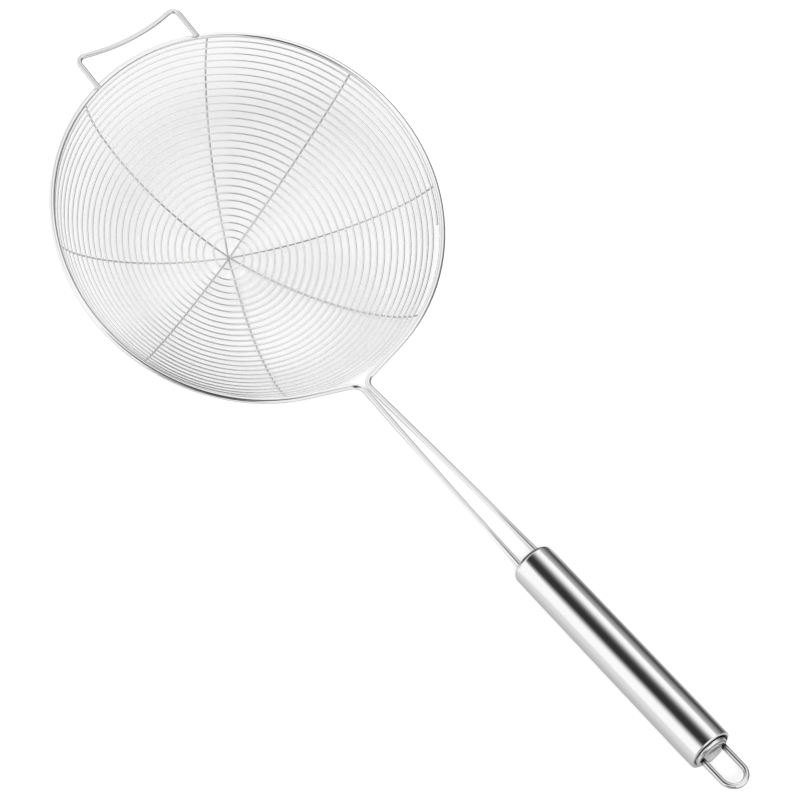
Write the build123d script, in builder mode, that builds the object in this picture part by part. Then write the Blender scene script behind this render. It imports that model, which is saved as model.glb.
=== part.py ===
"""Spider skimmer: a deep bowl of spiral wire on a long tubular handle.

One heavy wire makes the rim ring, closes at the neck and runs back as two
shanks into the handle. Four thin wires cross under the bowl and carry one
spiral wire, which is the strainer. A bent wire on the far side of the rim
hooks over the edge of a pot, and a loop at the end of the handle hangs it up.

The skimmer lies as it does on a table: on the bowl's bottom and on the lower
edge of the handle's end. +X runs towards the hanging loop, +Z is up, and the
origin is on the table under the middle of the whole outline. Millimetres.
"""

import os
from math import asin, atan, atan2, cos, degrees, hypot, pi, radians, sin, sqrt, tan

from build123d import *

os.makedirs("parts", exist_ok=True)

# Rim ring and shanks, one wire
rim_diameter = 240.0
rim_wire = 3.5
neck_straight = 26.5
neck_bend_run = 6.0
neck_gap = 0.4
shank_length = 158.0
shank_spacing = 13.3
shank_splay = 1.2
shank_insert = 30.0
handle_pitch = 25.2

# Bowl, measured on the centre of the spiral wire
bowl_depth = 72.5
bottom_angle = 45.6
rim_angle = 73.0

# Spiral wire
spiral_wire_size = 1.2
spiral_sides = 4
spiral_loops = 24
spiral_start = 7.6
spiral_start_turn = 115.1
spiral_rim_space = 4.6

# Cross wires
cross_wire_size = 1.2
cross_wire_sides = 6
cross_wire_turns = (27.4, 71.4, 115.1, 160.5)
cross_dip_reach = 14.0
weld_gap = 0.1

# Pot rest
hook_wire = 3.3
hook_width = 71.8
hook_reach = 21.3
hook_corner = 4.5
hook_bow = 4.0
hook_overlap = 2.0
hook_drop = 8.5
hook_turn = 2.7

# Handle tube
tube_diameter = 25.6
tube_wall = 0.8
tube_length = 145.5
tube_end_round = 3.0
tube_mouth = 18.0

# Plugs inside the tube's two mouths
plug_thickness = 2.0
plug_recess = 4.0
plug_gap = 0.1

# Hanging loop
loop_wire = 3.2
loop_width = 14.3
loop_reach = 25.0
loop_insert = 22.0

# Rim plane sizes
rim_radius = (rim_diameter - rim_wire) / 2
pitch = radians(handle_pitch)

# Bowl profile: a bottom arc and a tighter side arc, tangent where they meet
a1 = radians(bottom_angle)
a2 = radians(rim_angle)
profile_share = sin(a1) * (cos(a1) - cos(a2)) - (sin(a2) - sin(a1)) * (1 - cos(a1))
side_radius = (bowl_depth * sin(a1) - rim_radius * (1 - cos(a1))) / profile_share
bottom_radius = (rim_radius - side_radius * (sin(a2) - sin(a1))) / sin(a1)
bottom_centre_z = bottom_radius - bowl_depth
side_centre_r = (bottom_radius - side_radius) * sin(a1)
side_centre_z = bottom_centre_z - (bottom_radius - side_radius) * cos(a1)
bottom_run = bottom_radius * a1
bowl_run = bottom_run + side_radius * (a2 - a1)


def on_bowl(run, out=0.0):
    """Radius, height and slope of the bowl at a run from its centre, moved out from the bowl's skin."""
    if run < bottom_run:
        slope = run / bottom_radius
        return (
            (bottom_radius + out) * sin(slope),
            bottom_centre_z - (bottom_radius + out) * cos(slope),
            slope,
        )
    slope = a1 + (run - bottom_run) / side_radius
    return (
        side_centre_r + (side_radius + out) * sin(slope),
        side_centre_z - (side_radius + out) * cos(slope),
        slope,
    )


# Neck: both wires leave the ring along its tangent, bend out and run apart to the tube
neck_y = (rim_wire + neck_gap) / 2
splay = radians(shank_splay)
spread_angle = 2 * atan((shank_spacing / 2 - neck_y) / (shank_length - neck_bend_run)) - splay
shank_hole_y = shank_spacing / 2 + plug_recess * tan(splay / 2)
corner_y = neck_y - neck_bend_run * sin(spread_angle)
neck_tangent_run = neck_straight + neck_bend_run
ring_end_angle = atan2(neck_tangent_run, rim_radius) + asin(corner_y / hypot(rim_radius, neck_tangent_run))
corner_x = rim_radius * cos(ring_end_angle) + neck_tangent_run * sin(ring_end_angle)
tube_rear = shank_length + tube_length

# Resting tilt: the table touches the bowl's bottom arc and the tube's rounded rear end
table_radius = bottom_radius + spiral_wire_size / 2
rear_ring_run = tube_rear - tube_end_round
rear_ring_drop = tube_diameter / 2 - tube_end_round
rear_low_x = corner_x + rear_ring_run * cos(pitch) + rear_ring_drop * sin(pitch)
rear_low_z = rear_ring_run * sin(pitch) - rear_ring_drop * cos(pitch) - bottom_centre_z
tilt = atan2(rear_low_z, rear_low_x) + asin((table_radius - tube_end_round) / hypot(rear_low_x, rear_low_z))

# Pot rest root, on top of the rim wire, as run from the bowl's axis and height over the rim plane
drop = radians(hook_drop)
hook_way = pi + radians(hook_turn)
hook_lift = (rim_wire + hook_wire) / 2 + weld_gap
hook_origin_run = sqrt(rim_radius**2 - (hook_width / 2) ** 2) + hook_lift * sin(drop)
hook_origin_z = hook_lift * cos(drop)
hook_leg = hook_reach - hook_corner
hook_centre_y = hook_width / 2 - hook_corner

# Outline along the table, for the origin
loop_apex_run = tube_rear + loop_reach - loop_wire / 2
loop_tip_x = corner_x + loop_apex_run * cos(pitch)
loop_tip_z = loop_apex_run * sin(pitch)
front_x = loop_tip_x * cos(tilt) + loop_tip_z * sin(tilt) + loop_wire / 2
hook_far_run = hook_origin_run + hook_leg * cos(drop)
hook_far_x = hook_far_run * cos(hook_way) - hook_centre_y * abs(sin(hook_way))
hook_far_z = hook_origin_z - hook_leg * sin(drop)
back_x = hook_far_x * cos(tilt) + hook_far_z * sin(tilt) - hook_corner * cos(tilt - drop) - hook_wire / 2

rim_plane = Plane(
    origin=(-(front_x + back_x) / 2, 0, table_radius - bottom_centre_z * cos(tilt)),
    x_dir=(cos(tilt), 0, -sin(tilt)),
    z_dir=(sin(tilt), 0, cos(tilt)),
)


def at_rim(x, y, z=0.0):
    """A place in the rim's frame, as a place above the table."""
    return rim_plane.from_local_coords(Vector(x, y, z))


def along_rim(x, y, z=0.0):
    """A direction in the rim's frame, as a direction above the table."""
    return at_rim(x, y, z) - at_rim(0, 0)


handle_start = at_rim(corner_x, 0)
handle_way = along_rim(cos(pitch), 0, sin(pitch))
handle_up = along_rim(-sin(pitch), 0, cos(pitch))
handle_flat = Plane(origin=handle_start, x_dir=handle_way, z_dir=handle_up)
handle_side = Plane(origin=handle_start, x_dir=handle_way, z_dir=handle_flat.y_dir * -1)
handle_axis = Axis(handle_start, handle_way)


def wire_section(path):
    """The plane square to the start of a wire's path."""
    return Plane(origin=path @ 0, z_dir=path % 0)


def biarc_middle(start, start_way, end, end_way):
    """Where two tangent arcs between two directed places meet, and their direction there."""
    chord = end - start
    both = start_way + end_way
    spread = 2 * (1 - start_way.dot(end_way))
    along = chord.dot(both)
    reach = (sqrt(along**2 + spread * chord.dot(chord)) - along) / spread
    middle = (start + end + (start_way - end_way) * reach) / 2
    way = (end - end_way * reach) - (start + start_way * reach)
    return middle, way.normalized()


# Rim ring, neck and the two shanks
def shank_places(side):
    """Shank's inner end, where it runs straight, and the tube mouth and neck, all along the handle."""
    end = handle_flat.from_local_coords(Vector(shank_length + shank_insert, side * shank_hole_y))
    straight = handle_flat.from_local_coords(Vector(shank_length + plug_recess, side * shank_hole_y))
    mouth = handle_flat.from_local_coords(Vector(shank_length, side * shank_spacing / 2))
    neck = handle_flat.from_local_coords(Vector(neck_bend_run * cos(spread_angle), side * neck_y))
    return end, straight, mouth, neck


def ring_places(side):
    """Ring's end, its direction there, and the start of the neck's bend."""
    ring_end = at_rim(rim_radius * cos(ring_end_angle), side * rim_radius * sin(ring_end_angle))
    ring_way = along_rim(sin(ring_end_angle), -side * cos(ring_end_angle))
    return ring_end, ring_way, ring_end + ring_way * neck_straight


left_end, left_straight, left_mouth, left_neck = shank_places(1)
right_end, right_straight, right_mouth, right_neck = shank_places(-1)
left_ring, left_way, left_bend = ring_places(1)
right_ring, right_way, right_bend = ring_places(-1)
left_splay = handle_way * -cos(splay) - handle_flat.y_dir * sin(splay)
right_splay = handle_way * -cos(splay) + handle_flat.y_dir * sin(splay)

with BuildPart() as rim:
    with BuildLine() as rim_path:
        Line(left_end, left_straight)
        TangentArc(left_straight, left_mouth, tangent=handle_way * -1)
        TangentArc(left_mouth, left_neck, tangent=left_splay)
        TangentArc(left_bend, left_neck, tangent=left_way)
        Line(left_bend, left_ring)
        ThreePointArc(left_ring, at_rim(-rim_radius, 0), right_ring)
        Line(right_ring, right_bend)
        TangentArc(right_bend, right_neck, tangent=right_way)
        TangentArc(right_mouth, right_neck, tangent=right_splay)
        TangentArc(right_straight, right_mouth, tangent=handle_way * -1)
        Line(right_straight, right_end)
    rim_wire_line = rim_path.wires()[0]
    with BuildSketch(wire_section(rim_wire_line)):
        Circle(rim_wire / 2)
    sweep(path=rim_wire_line)
rim.part.label = "rim_wire"
export_step(rim.part, "parts/rim_wire.step")


# Spiral wire: a steady run along the bowl for each turn, clockwise from above
spiral_pitch = (bowl_run - spiral_rim_space - spiral_start) / spiral_loops


def spiral_place(half_turns):
    """Place and direction of the spiral after a number of half turns."""
    radius, height, slope = on_bowl(spiral_start + spiral_pitch * half_turns / 2)
    turn = radians(spiral_start_turn) - pi * half_turns
    climb = spiral_pitch / (2 * pi)
    way = along_rim(
        radius * sin(turn) + climb * cos(slope) * cos(turn),
        -radius * cos(turn) + climb * cos(slope) * sin(turn),
        climb * sin(slope),
    )
    return at_rim(radius * cos(turn), radius * sin(turn), height), way.normalized()


spiral_arcs = []
with BuildPart() as spiral:
    with BuildLine() as spiral_path:
        for step in range(2 * spiral_loops):
            start, start_way = spiral_place(step)
            end, end_way = spiral_place(step + 1)
            middle, middle_way = biarc_middle(start, start_way, end, end_way)
            spiral_arcs.append(TangentArc(start, middle, tangent=start_way))
            spiral_arcs.append(TangentArc(middle, end, tangent=middle_way))
    spiral_line = spiral_path.wires()[0]
    with BuildSketch(wire_section(spiral_line)):
        RegularPolygon(spiral_wire_size / 2, spiral_sides)
    sweep(path=spiral_line)
spiral.part.label = "spiral_wire"
export_step(spiral.part, "parts/spiral_wire.step")

# Least gap of the spiral to itself, from each of its points to those about one turn on
points_per_arc = 12
points_per_turn = 4 * points_per_arc
spiral_points = [arc @ (n / points_per_arc) for arc in spiral_arcs for n in range(points_per_arc)]
least_step = min(
    (spiral_points[n + points_per_turn + shift] - place).length
    for n, place in enumerate(spiral_points[: -points_per_turn - 1])
    for shift in (-1, 0, 1)
)


# Cross wires: under the spiral, each dipping below the one before at the centre
cross_out = (spiral_wire_size + cross_wire_size) / 2 + weld_gap
cross_end_run = bowl_run - (rim_wire / 2 + weld_gap) - cross_wire_size / 2


def cross_place(run, turn):
    """Place on a cross wire and its direction towards the rim."""
    radius, height, slope = on_bowl(run, cross_out)
    place = at_rim(radius * cos(turn), radius * sin(turn), height)
    way = along_rim(cos(slope) * cos(turn), cos(slope) * sin(turn), sin(slope))
    return place, way


for number, wire_turn in enumerate(cross_wire_turns, 1):
    dip = (number - 1) * (cross_wire_size + weld_gap)
    centre = at_rim(0, 0, bottom_centre_z - bottom_radius - cross_out - dip)
    with BuildPart() as cross:
        with BuildLine() as cross_path:
            for turn in (radians(wire_turn), radians(wire_turn) + pi):
                centre_way = along_rim(cos(turn), sin(turn))
                dip_end, dip_way = cross_place(cross_dip_reach, turn)
                side_start, side_way = cross_place(bottom_run, turn)
                rim_end, _ = cross_place(cross_end_run, turn)
                middle, middle_way = biarc_middle(centre, centre_way, dip_end, dip_way)
                TangentArc(centre, middle, tangent=centre_way)
                TangentArc(middle, dip_end, tangent=middle_way)
                TangentArc(dip_end, side_start, tangent=dip_way)
                TangentArc(side_start, rim_end, tangent=side_way)
        cross_line = cross_path.wires()[0]
        with BuildSketch(wire_section(cross_line)):
            RegularPolygon(cross_wire_size / 2, cross_wire_sides)
        sweep(path=cross_line)
    cross.part.label = f"cross_wire_{number}"
    export_step(cross.part, f"parts/cross_wire_{number}.step")


# Pot rest: two legs over the rim and a crosspiece bowed in towards the bowl
hook_plane = Plane(
    origin=at_rim(hook_origin_run * cos(hook_way), hook_origin_run * sin(hook_way), hook_origin_z),
    x_dir=along_rim(cos(drop) * cos(hook_way), cos(drop) * sin(hook_way), -sin(drop)),
    z_dir=along_rim(sin(drop) * cos(hook_way), sin(drop) * sin(hook_way), cos(drop)),
)
hook_bow_angle = 2 * atan(hook_bow / hook_centre_y)
hook_bow_reach = hook_centre_y / sin(hook_bow_angle)
hook_bow_degrees = degrees(hook_bow_angle)

with BuildPart() as hook:
    with BuildLine(hook_plane) as hook_path:
        Line((-hook_overlap, hook_width / 2), (hook_leg, hook_width / 2))
        CenterArc((hook_leg, hook_centre_y), hook_corner, 90, -90 - hook_bow_degrees)
        CenterArc(
            (hook_leg + hook_bow_reach * cos(hook_bow_angle), 0),
            hook_bow_reach - hook_corner,
            180 - hook_bow_degrees,
            2 * hook_bow_degrees,
        )
        CenterArc((hook_leg, -hook_centre_y), hook_corner, hook_bow_degrees, -90 - hook_bow_degrees)
        Line((hook_leg, -hook_width / 2), (-hook_overlap, -hook_width / 2))
    hook_line = hook_path.wires()[0]
    with BuildSketch(wire_section(hook_line)):
        Circle(hook_wire / 2)
    sweep(path=hook_line)
hook.part.label = "rest_hook"
export_step(hook.part, "parts/rest_hook.step")


# Handle tube: one wall, rolled in at both ends and finished with a bead round each mouth
tube_radius = tube_diameter / 2
round_r = tube_radius - tube_end_round
mouth_r = tube_mouth / 2
bead = (round_r - mouth_r) / 2
tube_front = shank_length

with BuildPart() as tube:
    with BuildSketch(handle_side):
        with BuildLine():
            Line((tube_front + tube_end_round, tube_radius), (tube_rear - tube_end_round, tube_radius))
            for end, way, first, second in (
                (tube_front, 1, 90, 180),
                (tube_rear, -1, 90, 0),
            ):
                shoulder = end + way * tube_end_round
                inner = end + way * tube_wall
                CenterArc((shoulder, round_r), tube_end_round, first, second - first)
                ThreePointArc((end, round_r), (end - way * bead, mouth_r + bead), (end, mouth_r))
                Line((end, mouth_r), (inner, mouth_r))
                Line((inner, mouth_r), (inner, round_r))
                CenterArc((shoulder, round_r), tube_end_round - tube_wall, first, second - first)
            Line(
                (tube_front + tube_end_round, tube_radius - tube_wall),
                (tube_rear - tube_end_round, tube_radius - tube_wall),
            )
        make_face()
    revolve(axis=handle_axis)
tube.part.label = "handle_tube"
export_step(tube.part, "parts/handle_tube.step")


# Plugs: a disc inside each mouth, with two holes that hold the wires
for name, inner_face, way, spacing, wire in (
    ("front_plug", tube_front + plug_recess, 1, 2 * shank_hole_y, rim_wire),
    ("rear_plug", tube_rear - plug_recess, -1, loop_width, loop_wire),
):
    plug_plane = Plane(
        origin=handle_flat.from_local_coords(Vector(inner_face, 0)),
        x_dir=handle_flat.y_dir,
        z_dir=handle_way * way,
    )
    with BuildPart() as plug:
        with BuildSketch(plug_plane):
            Circle(tube_radius - tube_wall - plug_gap)
            with Locations((spacing / 2, 0), (-spacing / 2, 0)):
                Circle(wire / 2 + plug_gap, mode=Mode.SUBTRACT)
        extrude(amount=plug_thickness)
    plug.part.label = name
    export_step(plug.part, f"parts/{name}.step")


# Hanging loop: a round-ended wire whose legs run into the rear mouth
loop_centre_run = loop_apex_run - loop_width / 2

with BuildPart() as loop:
    with BuildLine(handle_flat) as loop_path:
        Line((tube_rear - loop_insert, loop_width / 2), (loop_centre_run, loop_width / 2))
        CenterArc((loop_centre_run, 0), loop_width / 2, 90, -180)
        Line((loop_centre_run, -loop_width / 2), (tube_rear - loop_insert, -loop_width / 2))
    loop_line = loop_path.wires()[0]
    with BuildSketch(wire_section(loop_line)):
        Circle(loop_wire / 2)
    sweep(path=loop_line)
loop.part.label = "hanging_loop"
export_step(loop.part, "parts/hanging_loop.step")

print("tilt of the rim on the table, degrees:", round(degrees(tilt), 2))
print("bottom and side radius:", round(bottom_radius, 2), round(side_radius, 2))
print("spiral pitch along the bowl:", round(spiral_pitch, 3))
print("least gap of the spiral to itself:", round(least_step - spiral_wire_size, 3))
print("whole outline along the table:", round(front_x - back_x, 1))
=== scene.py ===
# %% [markdown]
# # A spider skimmer in polished steel
#
# A spider skimmer lifts food out of hot fat. It is a round bowl of thin wire, wound as one
# long spiral on four wires that cross under it, hung in a heavy wire ring. The ring's two
# ends run back side by side into a hollow steel handle. A small hook on the far side rests on
# the edge of a pot, and a loop at the handle's end hangs the tool on the wall.
#
# The solids come from the CAD model. This lesson dresses them: it gives each one its metal,
# winds the fine spiral that the CAD model only has in a plainer form, turns the handle's tube
# and cap, and lights it all as polished steel is lit in a studio, with white round it and a few
# dark cards to reflect.

import bpy
from math import cos, pi, radians, sin
from mathutils import Matrix, Vector


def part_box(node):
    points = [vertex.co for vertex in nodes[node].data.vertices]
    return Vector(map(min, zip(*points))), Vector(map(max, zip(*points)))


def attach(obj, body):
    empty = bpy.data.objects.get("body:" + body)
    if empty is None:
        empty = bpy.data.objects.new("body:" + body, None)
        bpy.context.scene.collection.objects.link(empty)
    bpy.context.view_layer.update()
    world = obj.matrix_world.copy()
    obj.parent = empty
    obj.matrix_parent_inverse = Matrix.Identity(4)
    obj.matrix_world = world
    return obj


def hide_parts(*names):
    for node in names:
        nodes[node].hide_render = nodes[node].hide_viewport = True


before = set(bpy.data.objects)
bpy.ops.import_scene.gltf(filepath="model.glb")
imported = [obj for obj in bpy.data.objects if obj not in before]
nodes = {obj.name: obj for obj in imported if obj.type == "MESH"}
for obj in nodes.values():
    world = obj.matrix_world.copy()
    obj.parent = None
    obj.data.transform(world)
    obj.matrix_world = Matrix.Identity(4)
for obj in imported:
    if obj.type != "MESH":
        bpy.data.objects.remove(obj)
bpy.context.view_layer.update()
scene = bpy.context.scene
MM = 0.001
print("CAD nodes:", ", ".join(sorted(nodes)))

# %% [markdown]
# ## The camera
#
# The photograph looks down on the tool from its handle's side, at about 49 degrees. The lens is
# long, so the far side of the ring looks only a little smaller than the near side. The camera's
# place and its three directions were found by fitting the ring, the crossing wires and the
# handle to the photograph. The directions are written as the columns of a rotation.

# %% Camera
PICTURE_SIDE = 800
FOCAL_PIXELS = 1983.1
SENSOR = 36.0
CAMERA_PLACE = Vector((593.78, -433.24, 898.31)) * MM

camera_data = bpy.data.cameras.new("camera")
camera_data.sensor_width = SENSOR
camera_data.lens = FOCAL_PIXELS * SENSOR / PICTURE_SIDE
camera_data.clip_start = 0.05
camera_data.clip_end = 50
camera = bpy.data.objects.new("camera", camera_data)
scene.collection.objects.link(camera)

to_the_right = Vector((0.59718, 0.80195, -0.01600)).normalized()
backwards = Vector((0.53379, -0.38244, 0.75419)).normalized()
upwards = backwards.cross(to_the_right).normalized()
turn = Matrix((to_the_right, upwards, backwards)).transposed().to_4x4()
camera.matrix_world = Matrix.Translation(CAMERA_PLACE) @ turn
scene.camera = camera
print(f"lens {camera_data.lens:.2f} mm, {camera.location.length:.2f} m from the middle")

# %% [markdown]
# ## Helpers for node trees
#
# The materials and the fine shapes of this lesson are made by trees of nodes. Such trees are
# usually drawn by hand. Here each one is built in code, so a few short helpers keep it
# readable: one adds a node and fills its sockets, and two more write a step of arithmetic and a
# change from one range of numbers to another.

# %% Helpers for node trees


def add(tree, kind, sockets, **settings):
    """A node with its settings, and its sockets filled with values or linked to others."""
    made = tree.nodes.new(kind)
    for setting, value in settings.items():
        setattr(made, setting, value)
    for key, value in sockets.items():
        if isinstance(value, bpy.types.NodeSocket):
            tree.links.new(value, made.inputs[key])
        else:
            made.inputs[key].default_value = value
    return made.outputs


def sum_of(tree, operation, first, second, third=0.0):
    """One step of arithmetic."""
    values = {0: first, 1: second, 2: third}
    return add(tree, "ShaderNodeMath", values, operation=operation)[0]


def ranged(tree, value, old, new, kind="LINEAR"):
    """A value moved from an old range to a new one, and held at the new one's ends."""
    values = {"Value": value, "From Min": old[0], "From Max": old[1]}
    values.update({"To Min": new[0], "To Max": new[1]})
    return add(tree, "ShaderNodeMapRange", values, interpolation_type=kind)[0]


def new_material(name):
    """An empty material."""
    material = bpy.data.materials.new(name)
    material.use_nodes = True
    material.node_tree.nodes.clear()
    return material


print("node helpers ready")

# %% [markdown]
# ## Studio: a white table under a white sky
#
# The table is a plain white floor. The world is white where the camera or a reflection sees
# it, and gives the larger part of the soft light. One soft lamp near the camera gives the rest,
# so the tool's shadow falls behind it and shows mostly through the bowl, as it does in the
# picture. The lamp is kept out of the metal's reflections, where it would draw a hot line.
#
# The picture is pure white round the tool and a pale grey inside the ring. So the floor has a
# faint glow that only the camera sees. It is strongest outside the ring, as the camera sees the
# ring's outline on the table. Inside, it fades away from the handle, and it is weak where the
# bowl nearly touches the table. It lightens the shadow there and doesn't remove it.

# %% Floor
FLOOR_HALF = 9
FLOOR_TINT = (0.98, 0.98, 0.98, 1)
RING_ON_FLOOR = (-0.2432, 0.0449, 0)
RING_TURN = radians(-21.975)
RING_HALVES = (0.1774, 0.1256, 1)
RING_EDGE = (0.985, 1.015)
GLOW_OUTSIDE = 0.27
TO_THE_HANDLE = (1, -0.5, 0)
FAR_AND_NEAR = (-0.36, -0.13)
GLOW_FAR_AND_NEAR = (0.0, 0.17)
TOUCHING = (-0.135, 0.025, 0)
TOUCH_REACH = (0.02, 0.08)
GLOW_SHARE_AT_TOUCH = 0.25


def sheet(name, corners, material):
    """A flat face through four corners, part of the studio and not of the tool."""
    mesh = bpy.data.meshes.new(name)
    mesh.from_pydata([Vector(c) for c in corners], [], [(0, 1, 2, 3)])
    mesh.materials.append(material)
    piece = bpy.data.objects.new(name, mesh)
    scene.collection.objects.link(piece)
    return piece


def level(across, along, height):
    """Corners of a level rectangle, from its two ranges and its height."""
    (left, right), (near, far) = across, along
    return [(left, near, height), (right, near, height), (right, far, height), (left, far, height)]


white_table = new_material("white_table")
tree = white_table.node_tree
where = add(tree, "ShaderNodeTexCoord", {})["Object"]
in_ring = add(
    tree,
    "ShaderNodeMapping",
    {
        "Vector": where,
        "Location": RING_ON_FLOOR,
        "Rotation": (0, 0, RING_TURN),
        "Scale": RING_HALVES,
    },
    vector_type="TEXTURE",
)[0]
from_middle = add(tree, "ShaderNodeVectorMath", {0: in_ring}, operation="LENGTH")["Value"]
nearness = add(
    tree, "ShaderNodeVectorMath", {0: where, 1: TO_THE_HANDLE}, operation="DOT_PRODUCT"
)["Value"]
from_touch = add(
    tree, "ShaderNodeVectorMath", {0: where, 1: TOUCHING}, operation="DISTANCE"
)["Value"]
fading = ranged(tree, nearness, FAR_AND_NEAR, GLOW_FAR_AND_NEAR, "SMOOTHSTEP")
weakened = ranged(tree, from_touch, TOUCH_REACH, (GLOW_SHARE_AT_TOUCH, 1), "SMOOTHSTEP")
inside = sum_of(tree, "MULTIPLY", fading, weakened)
glow = ranged(tree, from_middle, RING_EDGE, (inside, GLOW_OUTSIDE))
seen_by_camera = add(tree, "ShaderNodeLightPath", {})["Is Camera Ray"]
glow = sum_of(tree, "MULTIPLY", seen_by_camera, glow)
glow = add(tree, "ShaderNodeEmission", {"Strength": glow})[0]
diffuse = add(tree, "ShaderNodeBsdfDiffuse", {"Color": FLOOR_TINT})[0]
both = add(tree, "ShaderNodeAddShader", {0: diffuse, 1: glow})[0]
add(tree, "ShaderNodeOutputMaterial", {"Surface": both})
floor_range = (-FLOOR_HALF, FLOOR_HALF)
sheet("floor", level(floor_range, floor_range, 0), white_table)
print(f"floor {2 * FLOOR_HALF} m wide, glow {GLOW_OUTSIDE} outside the ring")

# %% World and lamp
LAMP_SHARE = 0.40
LAMP_SPREAD = radians(24)

scene.view_settings.view_transform = "Standard"
world = bpy.data.worlds.new("white_studio")
scene.world = world
world.use_nodes = True
tree = world.node_tree
rays = add(tree, "ShaderNodeLightPath", {})
looked_at = sum_of(tree, "MAXIMUM", rays["Is Camera Ray"], rays["Is Glossy Ray"])
looked_at = sum_of(tree, "MAXIMUM", looked_at, rays["Is Transmission Ray"])
not_scattered = sum_of(tree, "LESS_THAN", rays["Diffuse Depth"], 0.5)
fully_white = sum_of(tree, "MULTIPLY", looked_at, not_scattered)
strength = ranged(tree, fully_white, (0, 1), (1 - LAMP_SHARE, 1))
background = tree.nodes["Background"]
background.inputs["Color"].default_value = (1, 1, 1, 1)
tree.links.new(strength, background.inputs["Strength"])

lamp_data = bpy.data.lights.new("soft_lamp", "SUN")
lamp_data.angle = LAMP_SPREAD
lamp_data.energy = LAMP_SHARE * pi / backwards.z
lamp = bpy.data.objects.new("soft_lamp", lamp_data)
scene.collection.objects.link(lamp)
lamp.rotation_euler = backwards.to_track_quat("Z", "Y").to_euler()
lamp.visible_glossy = False
print(f"lamp {lamp_data.energy:.2f}, world {1 - LAMP_SHARE:.2f}")

# %% [markdown]
# ## Studio: cards for the metal to reflect
#
# Polished steel has no look of its own: it shows the room. In a white room it would vanish, so
# a photographer hangs cards round it. Their places were worked out from the picture: each place
# across the handle mirrors one direction, and its brightness says how dark the room is there.
#
# Close over the handle hangs a soft-edged dark card, which gives the near-black band along it.
# A grey ceiling and a far wall that darkens towards the table shade the bowl's wires and the
# handle's far side. Cards that lie on the table are what the metal mirrors from below: grey
# under the bowl, dark behind the handle and to its right. The last card stands on the near
# right, dark below and white above. All of them show in reflections only, and take no light
# from the floor.

# %% A card that fades


def card(name, corners, axis, stops, fade=None):
    """A card whose brightness follows stops, each a place in metres and a brightness.

    The axis says along which direction the stops lie. The fade gives four places along X:
    clear, full, full and clear again.
    """
    paint = new_material(name)
    tree = paint.node_tree
    where = add(tree, "ShaderNodeTexCoord", {})["Object"]
    parts = add(tree, "ShaderNodeSeparateXYZ", {0: where})
    low, high = stops[0][0], stops[-1][0]
    share = ranged(tree, parts[axis], (low, high), (0, 1))
    ramp = tree.nodes.new("ShaderNodeValToRGB")
    tree.links.new(share, ramp.inputs[0])
    elements = ramp.color_ramp.elements
    while len(elements) < len(stops):
        elements.new(0.5)
    for element, (place, bright) in zip(elements, stops):
        element.position = (place - low) / (high - low)
        element.color = (bright, bright, bright, 1)
    surface = add(tree, "ShaderNodeEmission", {"Color": ramp.outputs[0]})[0]
    if fade:
        near = ranged(tree, parts["X"], fade[:2], (0, 1), "SMOOTHSTEP")
        far = ranged(tree, parts["X"], (fade[3], fade[2]), (0, 1), "SMOOTHSTEP")
        full = sum_of(tree, "MULTIPLY", near, far)
        clear = add(tree, "ShaderNodeBsdfTransparent", {})[0]
        surface = add(tree, "ShaderNodeMixShader", {0: full, 1: clear, 2: surface})[0]
    add(tree, "ShaderNodeOutputMaterial", {"Surface": surface})
    piece = sheet(name, corners, paint)
    piece.visible_camera = False
    piece.visible_diffuse = False
    piece.visible_shadow = False
    piece.visible_transmission = False
    print(f"{name}: {len(stops)} stops from {low:g} to {high:g} m")


def upright(start, end, heights):
    """Corners of an upright rectangle over the line from start to end."""
    low, high = heights
    return [(*start, low), (*end, low), (*end, high), (*start, high)]


print("card maker ready")

# %% Cards overhead and on the wall
NEAR_CEILING = 0.3
CEILING = 3.0
WALL = 3.0
JUST_OVER_TABLE = 0.001
ceiling_stops = [
    (-0.489, 1.0),
    (-0.390, 0.91),
    (-0.316, 0.69),
    (-0.259, 0.40),
    (-0.212, 0.16),
    (-0.171, 0.040),
    (-0.135, 0.024),
    (-0.072, 0.026),
    (-0.043, 0.038),
    (-0.015, 0.072),
    (0.013, 0.152),
    (0.042, 0.316),
    (0.073, 0.548),
    (0.106, 0.80),
    (0.143, 0.95),
    (0.19, 1.0),
]
grey_stops = [(-3.6, 1.0), (-2.2, 0.85), (-1.4, 0.72), (-0.3, 0.66), (0.5, 0.75), (1.5, 1.0)]
slope_stops = [
    (0.0, 0.05),
    (0.08, 0.08),
    (0.225, 0.17),
    (0.395, 0.26),
    (0.565, 0.36),
    (0.75, 0.49),
    (0.96, 0.64),
    (1.21, 0.78),
    (1.53, 0.90),
    (1.9, 1.0),
]
wall_stops = [(slope * WALL, bright) for slope, bright in slope_stops]
card(
    "card_over_handle",
    level((-0.05, 0.4), (-0.6, 0.3), NEAR_CEILING),
    "Y",
    ceiling_stops,
    (-0.05, -0.043, 0.3, 0.4),
)
card(
    "grey_ceiling",
    level((-4, 0.6), (-4, 3), CEILING),
    "Y",
    grey_stops,
    (-3.4, -2.6, -0.3, 0.3),
)
card(
    "far_wall",
    upright((-2.6, WALL), (3.4, WALL), (JUST_OVER_TABLE, 5.7)),
    "Z",
    wall_stops,
    (-2.5, -1.95, 1.6, 3.2),
)

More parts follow.
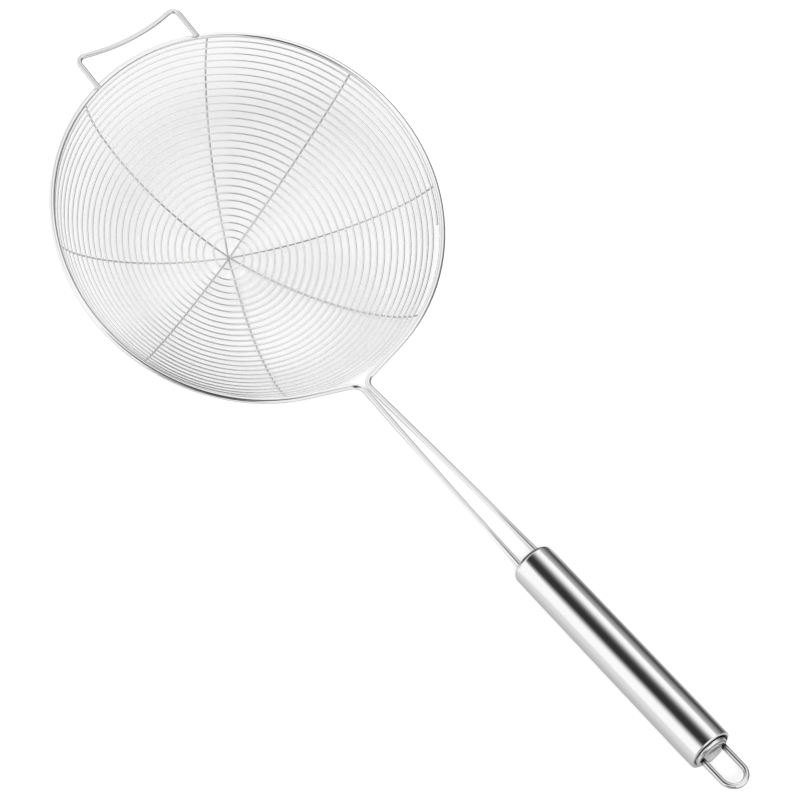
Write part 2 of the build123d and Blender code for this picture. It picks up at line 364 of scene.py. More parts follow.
# %% Cards on the table and at the near right
LOWEST_CARD, MIDDLE_CARD, TOP_CARD = 0.0004, 0.0005, 0.0006
handle_stops = [
    (-0.4, 1.0),
    (-0.25, 0.9),
    (-0.13, 0.80),
    (-0.047, 0.72),
    (-0.030, 0.62),
    (-0.018, 0.52),
    (0.0, 0.4),
    (0.018, 0.7),
    (0.04, 0.5),
    (0.07, 0.25),
    (0.11, 0.12),
    (0.2, 0.07),
    (0.45, 0.06),
]
table_cards = {
    "table_by_handle": (
        level((-0.04, 0.5), (-0.4, 0.45), LOWEST_CARD),
        handle_stops,
        (0.06, 0.1, 0.4, 0.5),
    ),
    "table_behind_shanks": (
        level((-0.3, 0.1), (0.06, 0.45), MIDDLE_CARD),
        [(0.06, 1.0), (0.11, 0.12), (0.2, 0.07), (0.45, 0.06)],
        (-0.3, -0.2, 0.06, 0.1),
    ),
    "table_under_bowl": (
        level((-0.7, 0.0), (-0.5, 0.5), LOWEST_CARD),
        [(-0.5, 1.0), (-0.25, 0.75), (0.0, 0.65), (0.25, 0.7), (0.5, 1.0)],
        (-0.7, -0.4, -0.04, 0.0),
    ),
    "table_to_wall": (
        level((-1.9, 0.5), (0.45, 2.99), LOWEST_CARD),
        [(0.45, 0.06), (2.99, 0.06)],
        (-1.9, -1.3, 0.2, 0.5),
    ),
    "table_right_of_handle": (
        level((0.19, 1.3), (-0.46, -0.17), MIDDLE_CARD),
        [(-0.46, 0.03), (-0.22, 0.03), (-0.17, 0.8)],
        (0.19, 0.25, 1.1, 1.3),
    ),
    "table_near_right": (
        level((0.0, 1.8), (-2.0, -0.42), TOP_CARD),
        [(-2.0, 0.02), (-0.7, 0.03), (-0.42, 1.0)],
        (0.0, 0.15, 1.6, 1.8),
    ),
}
for name, (corners, stops, fade) in table_cards.items():
    card(name, corners, "Y", stops, fade)
card(
    "near_right",
    upright((0.9, -1.7), (2.0, -0.5), (JUST_OVER_TABLE, 1.4)),
    "Z",
    [(0.0, 0.02), (0.8, 0.02), (1.4, 1.0)],
)

# %% [markdown]
# ## Metals
#
# Everything is stainless steel with a very fine, uneven polish. The spiral and the ring with
# its shanks are brightest, the pot rest is a little duller, and the wires that cross under the
# bowl are duller still. The plugs inside the tube are satin and hardly show.
#
# The tube and its cap carry a tag that is written when they are turned: how much painted shade
# a place has, and how far it lies on the shaded side. It paints the black seam at the back of
# the handle, partly a dark joint and partly painted shade on its shaded side, a painted shaded
# outline round its front end, and painted grey shade in the cap's dish. The cap is also more
# satin where it is darker. The loop's legs have painted shade where they leave the cap, by their
# place along the handle.

# %% Steel
TAG = "shade_and_side"
TUBE_TINT = (0.95, 0.95, 0.955)
# The colour of the painted shade on the tube and cap: the seam, the front outline and the cap's
# dish.
SEAM_AND_SHADE_TINT = (0.02, 0.02, 0.02)
SIDE_EDGE = (-0.05, 0.45)
SHARE_ON_OTHER_SIDE = 0.1
# Painted shade on the loop's legs where they leave the cap, by their place along X.
LOOP_ROOT_SHADE = (0.2572, 0.2594)
LOOP_SHADE_TINTS = (0.02, 0.84)
CAP_SHADES = (0.3, 0.58)
CAP_ROUGHNESS = (0.25, 0.6)
COARSE_GRAIN, FINE_GRAIN = 2 * MM, 1 * MM
DEEP, SHALLOW, SHALLOWEST = 0.005 * MM, 0.002 * MM, 0.001 * MM


def read_tag(tree):
    """How much painted shade a place of the tube or cap has, and how far it lies on the shaded
    side.
    """
    tag = add(tree, "ShaderNodeAttribute", {}, attribute_name=TAG)["Vector"]
    parts = add(tree, "ShaderNodeSeparateXYZ", {0: tag})
    return parts["X"], parts["Y"]


def seam_and_shade_tint(tree):
    """Bright steel with painted shade: black by the tag, mostly on the shaded side."""
    dark, side = read_tag(tree)
    side = ranged(tree, side, SIDE_EDGE, (SHARE_ON_OTHER_SIDE, 1))
    blend = tree.nodes.new("ShaderNodeMix")
    blend.data_type = "RGBA"
    tree.links.new(sum_of(tree, "MULTIPLY", dark, side), blend.inputs[0])
    tints = [socket for socket in blend.inputs if socket.type == "RGBA"]
    tints[0].default_value = (*TUBE_TINT, 1)
    tints[1].default_value = (*SEAM_AND_SHADE_TINT, 1)
    return next(socket for socket in blend.outputs if socket.type == "RGBA")


def cap_roughness(tree):
    """More satin where the tag is darker."""
    return ranged(tree, read_tag(tree)[0], CAP_SHADES, CAP_ROUGHNESS)


def shaded_root_tint(tree):
    """Bright steel with painted shade, nearly black where the loop leaves the cap."""
    where = add(tree, "ShaderNodeTexCoord", {})["Object"]
    along = add(tree, "ShaderNodeSeparateXYZ", {0: where})["X"]
    return ranged(tree, along, LOOP_ROOT_SHADE, LOOP_SHADE_TINTS)


def steel(name, tint, roughness, grain_size, grain_depth):
    """Bare steel with an uneven polish. A function may give the tint or the roughness."""
    material = new_material(name)
    tree = material.node_tree
    where = add(tree, "ShaderNodeTexCoord", {})["Object"]
    grain = add(
        tree, "ShaderNodeTexNoise", {"Vector": where, "Scale": 1 / grain_size, "Detail": 4}
    )["Fac"]
    if callable(roughness):
        uneven = roughness(tree)
    else:
        uneven = ranged(tree, grain, (0, 1), (roughness * 0.8, roughness * 1.25))
    bumps = add(tree, "ShaderNodeBump", {"Height": grain, "Distance": grain_depth})[0]
    surface = add(
        tree,
        "ShaderNodeBsdfPrincipled",
        {
            "Base Color": tint(tree) if callable(tint) else (*tint, 1),
            "Metallic": 1,
            "Roughness": uneven,
            "Normal": bumps,
        },
    )[0]
    add(tree, "ShaderNodeOutputMaterial", {"Surface": surface})
    return material


def grey(value):
    """A neutral tint."""
    return (value, value, value)


bright_wire = steel("bright_wire", grey(0.94), 0.10, COARSE_GRAIN, SHALLOW)
hook_metal = steel("hook_metal", grey(0.80), 0.10, COARSE_GRAIN, SHALLOW)
drawn_wire = steel("drawn_wire", grey(0.97), 0.10, FINE_GRAIN, SHALLOW)
cross_metal = steel("cross_metal", grey(0.74), 0.12, FINE_GRAIN, SHALLOW)
# The tube and the cap take painted shade from their tag.
tube_polish = steel("tube_polish", seam_and_shade_tint, 0.10, FINE_GRAIN, SHALLOWEST)
cap_metal = steel("cap_metal", seam_and_shade_tint, cap_roughness, FINE_GRAIN, SHALLOWEST)
plug_satin = steel("plug_satin", (0.62, 0.62, 0.63), 0.35, FINE_GRAIN, DEEP)
loop_metal = steel("loop_metal", shaded_root_tint, 0.10, COARSE_GRAIN, SHALLOW)

# %% Dress the CAD solids
finish_of = {
    "rim_wire": bright_wire,
    "rest_hook": hook_metal,
    "hanging_loop": loop_metal,
    "handle_tube": tube_polish,
    "front_plug": plug_satin,
    "rear_plug": plug_satin,
}
for name, node in nodes.items():
    finish = finish_of.get(name, drawn_wire)
    for slot in node.material_slots:
        slot.material = finish
    if not node.material_slots:
        node.data.materials.append(finish)
    print(name, "->", finish.name)

# %% [markdown]
# ## The shape of the bowl
#
# Cut the bowl through its middle and you see two arcs: a wide one for the bottom and a tighter
# one for the side, which meet with the same slope. Every thin wire lies on this shape, so it
# is written once, as a curve from the bowl's middle out to the ring, and all the wires are
# placed by how far along this curve they are.

# %% Sizes of the bowl, in millimetres
RING_RADIUS = 118.25
BOWL_DEPTH = 72.5
BOTTOM_ANGLE = radians(45.6)
RIM_ANGLE = radians(73)
THIN_WIRE = 1.2
RING_WIRE = 3.5

side_share = sin(BOTTOM_ANGLE) * (cos(BOTTOM_ANGLE) - cos(RIM_ANGLE))
side_share -= (sin(RIM_ANGLE) - sin(BOTTOM_ANGLE)) * (1 - cos(BOTTOM_ANGLE))
side_radius = BOWL_DEPTH * sin(BOTTOM_ANGLE) - RING_RADIUS * (1 - cos(BOTTOM_ANGLE))
side_radius /= side_share
bottom_radius = RING_RADIUS - side_radius * (sin(RIM_ANGLE) - sin(BOTTOM_ANGLE))
bottom_radius /= sin(BOTTOM_ANGLE)
bottom_run = bottom_radius * BOTTOM_ANGLE
bowl_run = bottom_run + side_radius * (RIM_ANGLE - BOTTOM_ANGLE)
bottom_middle_z = bottom_radius - BOWL_DEPTH


def on_bowl(run, out=0.0):
    """Radius and height of a place on the bowl, a run from its middle and moved outwards."""
    if run < bottom_run:
        slope = run / bottom_radius
        arm = bottom_radius + out
        return arm * sin(slope), bottom_middle_z - arm * cos(slope)
    slope = BOTTOM_ANGLE + (run - bottom_run) / side_radius
    apart = bottom_radius - side_radius
    arm = side_radius + out
    radius = apart * sin(BOTTOM_ANGLE) + arm * sin(slope)
    height = bottom_middle_z - apart * cos(BOTTOM_ANGLE) - arm * cos(slope)
    return radius, height


print(f"arcs of {bottom_radius:.1f} and {side_radius:.1f} mm")
print(f"{bowl_run:.1f} mm from the middle to the ring")

# %% Guide curves for the wires
GUIDE_POINTS = 300
WELD_SINK = 0.1


def drawn_curve(name, points):
    """A curve of straight pieces through points in millimetres, each with a radius of its own."""
    data = bpy.data.curves.new(name, "CURVE")
    data.dimensions = "3D"
    line = data.splines.new("POLY")
    line.points.add(len(points) - 1)
    for point, (x, y, z, radius) in zip(line.points, points):
        point.co = (x * MM, y * MM, z * MM, 1)
        point.radius = radius
    piece = bpy.data.objects.new(name, data)
    scene.collection.objects.link(piece)
    print(name, "has", len(points), "points")
    return piece


def bowl_guide(name, out):
    """The bowl's shape as a curve from its middle to the ring, moved outwards by out."""
    runs = [bowl_run * n / (GUIDE_POINTS - 1) for n in range(GUIDE_POINTS)]
    places = [on_bowl(run, out) for run in runs]
    return drawn_curve(name, [(radius, 0, height, 1) for radius, height in places])


under = THIN_WIRE - WELD_SINK
spiral_guide = bowl_guide("spiral_guide", 0.0)
cross_guide = bowl_guide("cross_guide", under)
weld_guide = bowl_guide("weld_guide", under / 2)

# %% [markdown]
# ## The resting pose
#
# The bowl is easiest to draw upright, with its ring level. On the table it leans on its round
# bottom and on the handle's end, so the ring is tipped by a little over 27 degrees. The last
# step of each wire's node tree turns the wire by this angle and sets it in its place. The thin
# wires sit half a millimetre nearer the pot rest than the middle of the ring.

# %% Tilt and place of the bowl
TILT = radians(27.3913)
RING_PLACE = Vector((-157.62, 0, 80.70)) * MM
WIRES_SHIFT = Vector((-0.5, 0, 0)) * MM
wires_place = RING_PLACE + Matrix.Rotation(TILT, 4, "Y") @ WIRES_SHIFT
print("middle of the thin wires' bowl in mm:", [round(v / MM, 1) for v in wires_place])

# %% [markdown]
# ## Helpers for the wires
#
# Every wire starts as a straight row of points, is laid on the bowl by way of its guide curve,
# and gets a round section. These steps are written once. The last two helpers end each tree,
# by tipping the piece into its resting pose, and run it to make a plain mesh.

# %% Helpers for the wires
POSE_SOCKETS = {"Tilt": "Rotation", "Place": "Vector", "Material": "Material"}


def new_tree(name, sizes):
    """An empty geometry tree with named inputs, each a socket kind, and its two ends."""
    tree = bpy.data.node_groups.new(name, "GeometryNodeTree")
    tree.interface.new_socket("Geometry", in_out="INPUT", socket_type="NodeSocketGeometry")
    for label, kind in (sizes | POSE_SOCKETS).items():
        tree.interface.new_socket(label, in_out="INPUT", socket_type="NodeSocket" + kind)
    tree.interface.new_socket("Geometry", in_out="OUTPUT", socket_type="NodeSocketGeometry")
    return tree, tree.nodes.new("NodeGroupInput").outputs


def row_of_points(tree, count):
    """A straight row of points, and each point's share of the way along it."""
    line = add(tree, "GeometryNodeCurvePrimitiveLine", {})[0]
    points = add(tree, "GeometryNodeResampleCurve", {"Curve": line, "Count": count})[0]
    return points, add(tree, "GeometryNodeSplineParameter", {})["Factor"]


def on_guide(tree, guide, run):
    """The place and direction that a guide curve has after a run along it."""
    curve = add(tree, "GeometryNodeObjectInfo", {"Object": guide})["Geometry"]
    sockets = {"Curves": curve, "Length": run}
    return add(tree, "GeometryNodeSampleCurve", sockets, mode="LENGTH")


def turned(tree, vector, angle):
    """A vector turned round the bowl's upright axis."""
    sockets = {"Vector": vector, "Angle": angle}
    return add(tree, "ShaderNodeVectorRotate", sockets, rotation_type="Z_AXIS")[0]


def moved(tree, geometry, position):
    """Points set in new places."""
    sockets = {"Geometry": geometry, "Position": position}
    return add(tree, "GeometryNodeSetPosition", sockets)[0]


def round_wire(tree, given, curve):
    """A wire of round section along a curve, closed at both ends."""
    half = sum_of(tree, "MULTIPLY", given["Thickness"], 0.5)
    sockets = {"Resolution": given["Sides"], "Radius": half}
    section = add(tree, "GeometryNodeCurvePrimitiveCircle", sockets)[0]
    sockets = {"Curve": curve, "Profile Curve": section, "Fill Caps": True}
    return add(tree, "GeometryNodeCurveToMesh", sockets)[0]


def close_tree(tree, given, geometry):
    """Tips the piece into the resting pose, makes it real, smooth and metal."""
    sockets = {"Geometry": geometry, "Rotation": given["Tilt"], "Translation": given["Place"]}
    placed = add(tree, "GeometryNodeTransform", sockets)[0]
    real = add(tree, "GeometryNodeRealizeInstances", {"Geometry": placed})[0]
    smooth = add(tree, "GeometryNodeSetShadeSmooth", {"Geometry": real})[0]
    sockets = {"Geometry": smooth, "Material": given["Material"]}
    metal = add(tree, "GeometryNodeSetMaterial", sockets)[0]
    add(tree, "NodeGroupOutput", {"Geometry": metal})
    print("tree", tree.name, "with", len(tree.nodes), "nodes")
    return tree


def run_tree(name, tree, values, base=None):
    """Runs a tree on an object and keeps the result as a plain mesh, at the origin."""
    piece = bpy.data.objects.new(name, base or bpy.data.meshes.new(name))
    scene.collection.objects.link(piece)
    modifier = piece.modifiers.new("nodes", "NODES")
    modifier.node_group = tree
    for socket in tree.interface.items_tree:
        if socket.in_out == "INPUT" and socket.name in values:
            modifier[socket.identifier] = values[socket.name]
    graph = bpy.context.evaluated_depsgraph_get()
    mesh = bpy.data.meshes.new_from_object(piece.evaluated_get(graph))
    piece.modifiers.clear()
    piece.data = mesh
    mesh.name = name
    mesh.materials.clear()
    mesh.materials.append(values["Material"])
    mesh.polygons.foreach_set("material_index", [0] * len(mesh.polygons))
    volume = sum(face.area * face.normal.dot(face.center) for face in mesh.polygons) / 3
    print(f"{name}: {len(mesh.polygons)} faces, {volume / MM**3:.0f} cubic mm")
    return piece


def pose_values(material):
    """What every wire needs: the resting pose and its metal."""
    return {"Tilt": (0, TILT, 0), "Place": wires_place[:], "Material": material}


print("wire helpers ready")

# %% [markdown]
# ## The spiral wire
#
# The strainer is one long wire, wound from the bowl's middle outwards, clockwise from above,
# about 28 turns with 4.7 mm from one to the next. It could be a curve with thousands of typed
# points, or a screw modifier, but a bowl isn't a plain cone. Here a straight line is cut into
# points, each point asks the guide curve where it is after its run, and is then turned about
# the bowl's axis. The start is tucked in closer to the middle, as on the real tool, and a
# little noise keeps the gaps from being machine perfect.

# %% Spiral wire tree
TIGHTENS = (0.05, 0.4)
LOOSENS = (0.6, 0.85)
WAVES_PER_TURN = 2.3

tree, given = new_tree(
    "spiral_on_bowl",
    {
        "Guide": "Object",
        "Turns": "Float",
        "First run": "Float",
        "Pitch": "Float",
        "First turn": "Float",
        "Thickness": "Float",
        "Unevenness": "Float",
        "Tighter start": "Float",
        "Points": "Int",
        "Sides": "Int",
    },
)
points, share = row_of_points(tree, given["Points"])
turns = sum_of(tree, "MULTIPLY", share, given["Turns"])
noise = add(
    tree,
    "ShaderNodeTexNoise",
    {"W": turns, "Scale": WAVES_PER_TURN, "Detail": 1.0},
    noise_dimensions="1D",
)[0]
uneven = sum_of(tree, "SUBTRACT", noise, 0.5)
wander = sum_of(tree, "MULTIPLY", uneven, given["Unevenness"])
run = sum_of(tree, "MULTIPLY_ADD", turns, given["Pitch"], given["First run"])
run = sum_of(tree, "ADD", run, wander)
tightening = ranged(tree, turns, TIGHTENS, (0.0, given["Tighter start"]), "SMOOTHSTEP")
loosening = ranged(tree, turns, LOOSENS, (1.0, 0.0), "SMOOTHSTEP")
tightened = sum_of(tree, "MULTIPLY", tightening, loosening)
run = sum_of(tree, "SUBTRACT", run, tightened)
place = on_guide(tree, given["Guide"], run)["Position"]
angle = sum_of(tree, "MULTIPLY_ADD", turns, -2 * pi, given["First turn"])
wound = moved(tree, points, turned(tree, place, angle))
spiral_tree = close_tree(tree, given, round_wire(tree, given, wound))

# %% Wind the spiral
SPIRAL_PITCH = 4.742
SPIRAL_FIRST_RUN = 9.08
SPIRAL_FIRST_TURN = 115.6
RIM_SPACE = 4.7
TIGHTER_START = 2.6
UNEVENNESS = 0.5
POINTS_PER_TURN = 110
WIRE_SIDES = 8

spiral_turns = (bowl_run - RIM_SPACE - SPIRAL_FIRST_RUN) / SPIRAL_PITCH
spiral_wire = run_tree(
    "spiral_winding",
    spiral_tree,
    {
        "Guide": spiral_guide,
        "Turns": spiral_turns,
        "First run": SPIRAL_FIRST_RUN * MM,
        "Pitch": SPIRAL_PITCH * MM,
        "First turn": radians(SPIRAL_FIRST_TURN),
        "Thickness": THIN_WIRE * MM,
        "Unevenness": UNEVENNESS * MM,
        "Tighter start": TIGHTER_START * MM,
        "Points": int(spiral_turns * POINTS_PER_TURN),
        "Sides": WIRE_SIDES,
        **pose_values(drawn_wire),
    },
)
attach(spiral_wire, "root")
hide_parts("spiral_wire")
print(f"{spiral_turns:.1f} turns, {SPIRAL_PITCH} mm apart")

# %% [markdown]
# ## The four wires that cross under the spiral
#
# They carry the spiral and are welded to it wherever the two meet. Each runs from the ring down
# under the bowl's middle and up to the ring again. They are pressed together where they cross
# at the middle, so each passes only 0.8 mm lower than the one before, less than a wire's
# thickness. The two halves of a wire aren't quite in line, as on the real tool, so each half
# has its own direction. Four curves could be typed by hand, but all four are the same shape in
# different directions, so one tree bends them.

# %% Cross wire tree
tree, given = new_tree(
    "wire_under_bowl",
    {
        "Guide": "Object",
        "Reach": "Float",
        "First side": "Float",
        "Second side": "Float",
        "Dip": "Float",
        "Dip reach": "Float",
        "Thickness": "Float",
        "Points": "Int",
        "Sides": "Int",
    },
)
points, share = row_of_points(tree, given["Points"])
side = sum_of(tree, "MULTIPLY_ADD", share, 2.0, -1.0)
run = sum_of(tree, "MULTIPLY", sum_of(tree, "ABSOLUTE", side, 0.0), given["Reach"])
place = on_guide(tree, given["Guide"], run)["Position"]
dip = ranged(tree, run, (0.0, given["Dip reach"]), (given["Dip"], 0.0), "SMOOTHSTEP")
drop = add(tree, "ShaderNodeCombineXYZ", {"Z": dip})[0]
place = add(tree, "ShaderNodeVectorMath", {0: place, 1: drop}, operation="SUBTRACT")[0]
second = sum_of(tree, "GREATER_THAN", side, 0.0)
apart = sum_of(tree, "SUBTRACT", given["Second side"], given["First side"])
angle = sum_of(tree, "MULTIPLY_ADD", second, apart, given["First side"])
bent = moved(tree, points, turned(tree, place, angle))
cross_tree = close_tree(tree, given, round_wire(tree, given, bent))

# %% Bend the four cross wires
CROSS_SIDES = ((29.0, 205.6), (71.8, 251.0), (115.6, 294.5), (160.8, 339.95))
CROSS_POINTS = 161
MIDDLE_STEP = 0.8
DIP_REACH = 14

cross_reach = bowl_run - RING_WIRE / 2 - THIN_WIRE / 2
for number, (first, second) in enumerate(CROSS_SIDES, 1):
    wire = run_tree(
        f"bent_wire_{number}",
        cross_tree,
        {
            "Guide": cross_guide,
            "Reach": cross_reach * MM,
            "First side": radians(first),
            "Second side": radians(second),
            "Dip": (number - 1) * MIDDLE_STEP * MM,
            "Dip reach": DIP_REACH * MM,
            "Thickness": THIN_WIRE * MM,
            "Points": CROSS_POINTS,
            "Sides": WIRE_SIDES,
            **pose_values(cross_metal),
        },
    )
    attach(wire, "root")
    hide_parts(f"cross_wire_{number}")

# %% [markdown]
# ## Spot welds
#
# Wherever the spiral meets a wire under it, a spot weld has sunk the two into each other and
# left a small bead. There are over two hundred, so one bead is made and placed by a tree: each
# of the eight half wires gives one mark, the mark is repeated for every turn of the spiral,
# and each copy finds its own place on the bowl. A mark carries three numbers: how far from the
# middle its first weld is, its direction, and how much closer in the spiral's start lies there.

# %% Spot weld tree
tree, given = new_tree(
    "spot_welds",
    {
        "Guide": "Object",
        "Pitch": "Float",
        "Last run": "Float",
        "Turns": "Int",
        "Bead": "Vector",
    },
)
MARK_NUMBERS = ("first_run", "direction", "tighter")
first_run, direction, tighter = (
    add(tree, "GeometryNodeInputNamedAttribute", {"Name": label}, data_type="FLOAT")[0]
    for label in MARK_NUMBERS
)
copies = add(
    tree,
    "GeometryNodeDuplicateElements",
    {"Geometry": given["Geometry"], "Amount": given["Turns"]},
    domain="POINT",
)
copy_number = copies["Duplicate Index"]
run = sum_of(tree, "MULTIPLY_ADD", copy_number, given["Pitch"], first_run)
innermost = sum_of(tree, "LESS_THAN", copy_number, 0.5)
run = sum_of(tree, "SUBTRACT", run, sum_of(tree, "MULTIPLY", innermost, tighter))
sample = on_guide(tree, given["Guide"], run)
marks = moved(tree, copies["Geometry"], turned(tree, sample["Position"], direction))
beyond = add(
    tree,
    "FunctionNodeCompare",
    {0: run, 1: given["Last run"]},
    data_type="FLOAT",
    operation="GREATER_THAN",
)[0]
marks = add(
    tree,
    "GeometryNodeDeleteGeometry",
    {"Geometry": marks, "Selection": beyond},
    domain="POINT",
)[0]
along = add(
    tree,
    "FunctionNodeAlignRotationToVector",
    {"Vector": turned(tree, sample["Tangent"], direction)},
    axis="X",
)[0]
bead = add(tree, "GeometryNodeMeshUVSphere", {"Segments": 8, "Rings": 5, "Radius": 1.0})[0]
beads = add(
    tree,
    "GeometryNodeInstanceOnPoints",
    {"Points": marks, "Instance": bead, "Rotation": along, "Scale": given["Bead"]},
)[0]
weld_tree = close_tree(tree, given, beads)

# %% Set the spot welds
SPOT_BEAD = Vector((0.75, 0.6, 0.5)) * MM


def eased(value, low, high):
    """Smooth step from 0 at low to 1 at high."""
    share = min(max((value - low) / (high - low), 0), 1)
    return share**2 * (3 - 2 * share)


def weld_marks(name, rows):
    """One point for each half wire, with its three numbers."""
    marks = bpy.data.meshes.new(name)
    marks.from_pydata([(0, 0, 0)] * len(rows), [], [])
    for n, label in enumerate(MARK_NUMBERS):
        numbers = marks.attributes.new(label, "FLOAT", "POINT")
        numbers.data.foreach_set("value", [row[n] for row in rows])
    return marks


half_wires = [side for pair in CROSS_SIDES for side in pair]
rows = []
for side in half_wires:
    waited = ((SPIRAL_FIRST_TURN - side) % 360) / 360
    tight = eased(waited, *TIGHTENS) * (1 - eased(waited, *LOOSENS))
    first_run = SPIRAL_FIRST_RUN + SPIRAL_PITCH * waited
    rows.append((first_run * MM, radians(side), TIGHTER_START * tight * MM))
spot_welds = run_tree(
    "spot_welds",
    weld_tree,
    {
        "Guide": weld_guide,
        "Pitch": SPIRAL_PITCH * MM,
        "Last run": (bowl_run - RIM_SPACE) * MM,
        "Turns": int(spiral_turns) + 1,
        "Bead": SPOT_BEAD[:],
        **pose_values(drawn_wire),
    },
    weld_marks("weld_marks", rows),
)
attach(spot_welds, "root")

# %% [markdown]
# ## Ring welds
#
# The ends of the four cross wires are welded to the ring, with larger beads. The same tree sets
# them: here each half wire's mark isn't repeated, and its run ends just short of the wire's end.

# %% Set the ring welds
RING_BEAD = Vector((1.3, 0.95, 0.8)) * MM
SHORT_OF_END = 0.4

end_run = (cross_reach - SHORT_OF_END) * MM
ring_welds = run_tree(
    "ring_welds",
    weld_tree,
    {
        "Guide": cross_guide,
        "Pitch": SPIRAL_PITCH * MM,
        "Last run": bowl_run * MM,
        "Turns": 1,
        "Bead": RING_BEAD[:],
        **pose_values(cross_metal),
    },
    weld_marks("end_marks", [(end_run, radians(side), 0) for side in half_wires]),
)
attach(ring_welds, "root")

# %% [markdown]
# ## The polished handle tube and its rear cap
#
# The handle is a tube turned round its axis. Its front edge is rolled in wide and its rear edge
# tight. In the rear mouth sits a separate cap: its rounded lip stands 2 mm out of the tube, a
# black seam parts the two, and its face is dished in the middle. Both could be cylinders with
# bevels, but a turned part is drawn best as its half section. The section is a closed curve,
# and a tree spins it: a grid's columns take the section's points, and its rows turn them about
# the axis. Each point of a section also has a painted shade, 0 for black and 1 for bright, which
# darkens the seam and draws a shaded outline round the front end, dark lines in the cap's lip and
# grey shade in its dish. The grid writes how dark each place is and which side it is on, and
# the metal reads both.

# %% Half sections of the tube and the cap, in millimetres
TUBE_RADIUS = 12.8
TUBE_LENGTH = 145.5
TUBE_WALL = 0.8
MOUTH_RADIUS = 9.0
FRONT_ROUND = 3.0
FRONT_STEPS = 15
EDGE_STEP = 0.3
OUTLINE_STEPS = 11
# Painted shade for the outline round the front end.
OUTLINE_SHADE = 0.04
STRAIGHT_PLACES = range(8, 140, 12)
BACK_ROUND = 0.8
BACK_STEPS = 12
BACK_TAPER = 0.1
INNER_SHORT = 1
# The shades in these rows are painted shade: the seam, the dark lines of the cap's lip and the
# grey of its dish.
BACK_MOUTH = ((0, 11.5, 0.7), (-0.05, 11.25, 0), (-0.4, 11.1, 0), (-0.6, 9.85, 0))
CAP_OUT = 2.0
CAP_FOOT = ((-1, 0.05, 0.5), (-1, 9.8, 0), (-0.2, 9.8, 0), (0.15, 9.75, 0.2), (0.4, 9.7, 1))
CAP_LIP = ((-0.8, 9.5, 1), (-0.45, 9.2, 1), (-0.3, 8.95, 0.5), (-0.4, 8.75, 0.1))
CAP_RING = ((-0.35, 8.45, 0.1), (-0.1, 8.2, 0.8), (0, 7.8, 1), (0, 5.9, 1))
CAP_DISH = ((-0.1, 5.5, 0.8), (-0.4, 5.3, 0.4), (-0.6, 5.0, 0.42), (-0.6, 0.05, 0.42))


def rounding(along, size, first, last, steps):
    """Points of a rounded end, from one angle to another, 0 being straight out from the axis."""
    spins = [radians(first + (last - first) * n / steps) for n in range(steps + 1)]
    return [(along + size * sin(s), TUBE_RADIUS - size + size * cos(s)) for s in spins]


def from_place(start, points):
    """Points whose places along the axis are counted from a start."""
    return [(start + along, radius, shade) for along, radius, shade in points]


back = TUBE_LENGTH - BACK_ROUND
inner = TUBE_RADIUS - TUBE_WALL
front_edge = (TUBE_WALL, MOUTH_RADIUS, 0)
tube_points = [front_edge, (0, MOUTH_RADIUS + EDGE_STEP, 0)]
for n, (along, radius) in enumerate(rounding(FRONT_ROUND, FRONT_ROUND, -90, 0, FRONT_STEPS)):
    lighter = (n - OUTLINE_STEPS) / (FRONT_STEPS - OUTLINE_STEPS)
    tube_points.append((along, radius, OUTLINE_SHADE if n <= OUTLINE_STEPS else lighter))
tube_points.append((FRONT_ROUND + EDGE_STEP, TUBE_RADIUS, 1))
tube_points += [(along, TUBE_RADIUS, 1) for along in STRAIGHT_PLACES]
tube_points.append((back - EDGE_STEP, TUBE_RADIUS - BACK_TAPER, 1))
for along, radius in rounding(back, BACK_ROUND, 0, 80, BACK_STEPS):
    tube_points.append((along, radius - BACK_TAPER, 1))
tube_points += from_place(TUBE_LENGTH, BACK_MOUTH)
tube_points += [(back - INNER_SHORT, inner, 0), (FRONT_ROUND, inner, 0), front_edge]

cap_points = from_place(TUBE_LENGTH, CAP_FOOT)
cap_points += from_place(TUBE_LENGTH + CAP_OUT, CAP_LIP + CAP_RING + CAP_DISH)
cap_points.append(cap_points[0])


def section_curve(name, points):
    """A half section as a curve, with the painted shade of each place kept as its radius."""
    return drawn_curve(name, [(along, radius, 0, shade) for along, radius, shade in points])


tube_section = section_curve("tube_section", tube_points)
cap_section = section_curve("cap_section", cap_points)

# %% Turning tree
tree, given = new_tree(
    "turned_on_axis",
    {
        "Section": "Object",
        "Columns": "Int",
        "Rows": "Int",
        "Shaded side": "Float",
    },
)
grid = add(
    tree,
    "GeometryNodeMeshGrid",
    {"Vertices X": given["Columns"], "Vertices Y": given["Rows"]},
)["Mesh"]
number = add(tree, "GeometryNodeInputIndex", {})[0]
column = sum_of(tree, "FLOOR", sum_of(tree, "DIVIDE", number, given["Rows"]), 0.0)
row = sum_of(tree, "MODULO", number, given["Rows"])
spins = sum_of(tree, "SUBTRACT", given["Rows"], 1.0)
spin = sum_of(tree, "MULTIPLY", sum_of(tree, "DIVIDE", row, spins), 2 * pi)
drawn = add(tree, "GeometryNodeObjectInfo", {"Object": given["Section"]})["Geometry"]


def of_section(tree, field, kind):
    """What the section's point of this column has: its place or its shade."""
    value = add(tree, field, {})[0]
    return add(
        tree,
        "GeometryNodeSampleIndex",
        {"Geometry": drawn, "Value": value, "Index": column},
        data_type=kind,
        domain="POINT",
    )[0]


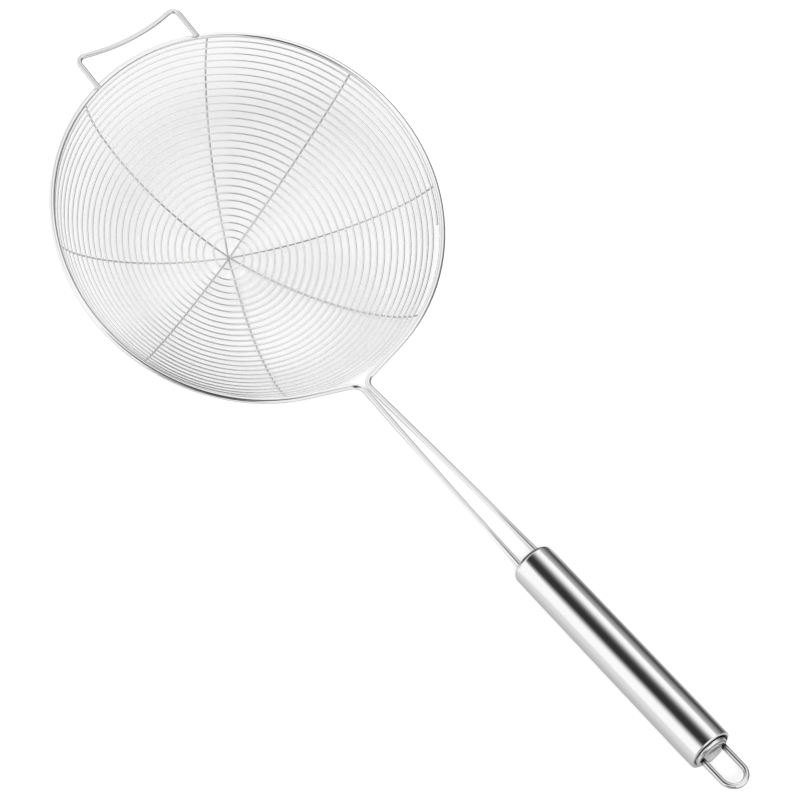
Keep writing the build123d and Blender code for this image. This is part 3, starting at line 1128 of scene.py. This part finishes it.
place = of_section(tree, "GeometryNodeInputPosition", "FLOAT_VECTOR")
shade = of_section(tree, "GeometryNodeInputRadius", "FLOAT")
sockets = {"Vector": place, "Angle": spin}
spun = add(tree, "ShaderNodeVectorRotate", sockets, rotation_type="X_AXIS")[0]
off_side = sum_of(tree, "SUBTRACT", spin, given["Shaded side"])
tag = add(
    tree,
    "ShaderNodeCombineXYZ",
    {
        "X": sum_of(tree, "SUBTRACT", 1.0, shade),
        "Y": sum_of(tree, "COSINE", off_side, 0.0),
    },
)[0]
tagged = add(
    tree,
    "GeometryNodeStoreNamedAttribute",
    {"Geometry": moved(tree, grid, spun), "Name": TAG, "Value": tag},
    data_type="FLOAT_VECTOR",
    domain="POINT",
)[0]
sockets = {"Geometry": tagged, "Distance": 0.001 * MM}
joined = add(tree, "GeometryNodeMergeByDistance", sockets)[0]
outwards = add(tree, "GeometryNodeFlipFaces", {"Mesh": joined})[0]
turning_tree = close_tree(tree, given, outwards)

# %% Turn the tube and the cap
AROUND = 128
HANDLE_PITCH = radians(25.2)
SHANK_LENGTH = 158
SHANKS_START_X, SHANKS_START_Z = -48.75, 24.29
TUBE_SHADED_SIDE = radians(65)
CAP_SHADED_SIDE = radians(85)

handle_tip = TILT - HANDLE_PITCH
tube_start_x = SHANKS_START_X + SHANK_LENGTH * cos(handle_tip)
tube_start_z = SHANKS_START_Z - SHANK_LENGTH * sin(handle_tip)
on_handle = {
    "Rows": AROUND + 1,
    "Tilt": (0, handle_tip, 0),
    "Place": (Vector((tube_start_x, 0, tube_start_z)) * MM)[:],
}
tube = run_tree(
    "turned_tube",
    turning_tree,
    {
        "Section": tube_section,
        "Columns": len(tube_points),
        "Shaded side": TUBE_SHADED_SIDE,
        "Material": tube_polish,
        **on_handle,
    },
)
rear_cap = run_tree(
    "rear_cap",
    turning_tree,
    {
        "Section": cap_section,
        "Columns": len(cap_points),
        "Shaded side": CAP_SHADED_SIDE,
        "Material": cap_metal,
        **on_handle,
    },
)
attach(rear_cap, "root")
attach(tube, "root")
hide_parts("handle_tube")
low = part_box("handle_tube")[0]
lows = [min(v.co[n] for v in tube.data.vertices) for n in range(3)]
shift = [round((lows[n] - low[n]) / MM, 3) for n in range(3)]
print("tube's low corner against the CAD's, in mm:", shift)

# %% Put the guides away
for guide in (spiral_guide, cross_guide, weld_guide, tube_section, cap_section):
    bpy.data.objects.remove(guide)
print("guides removed")
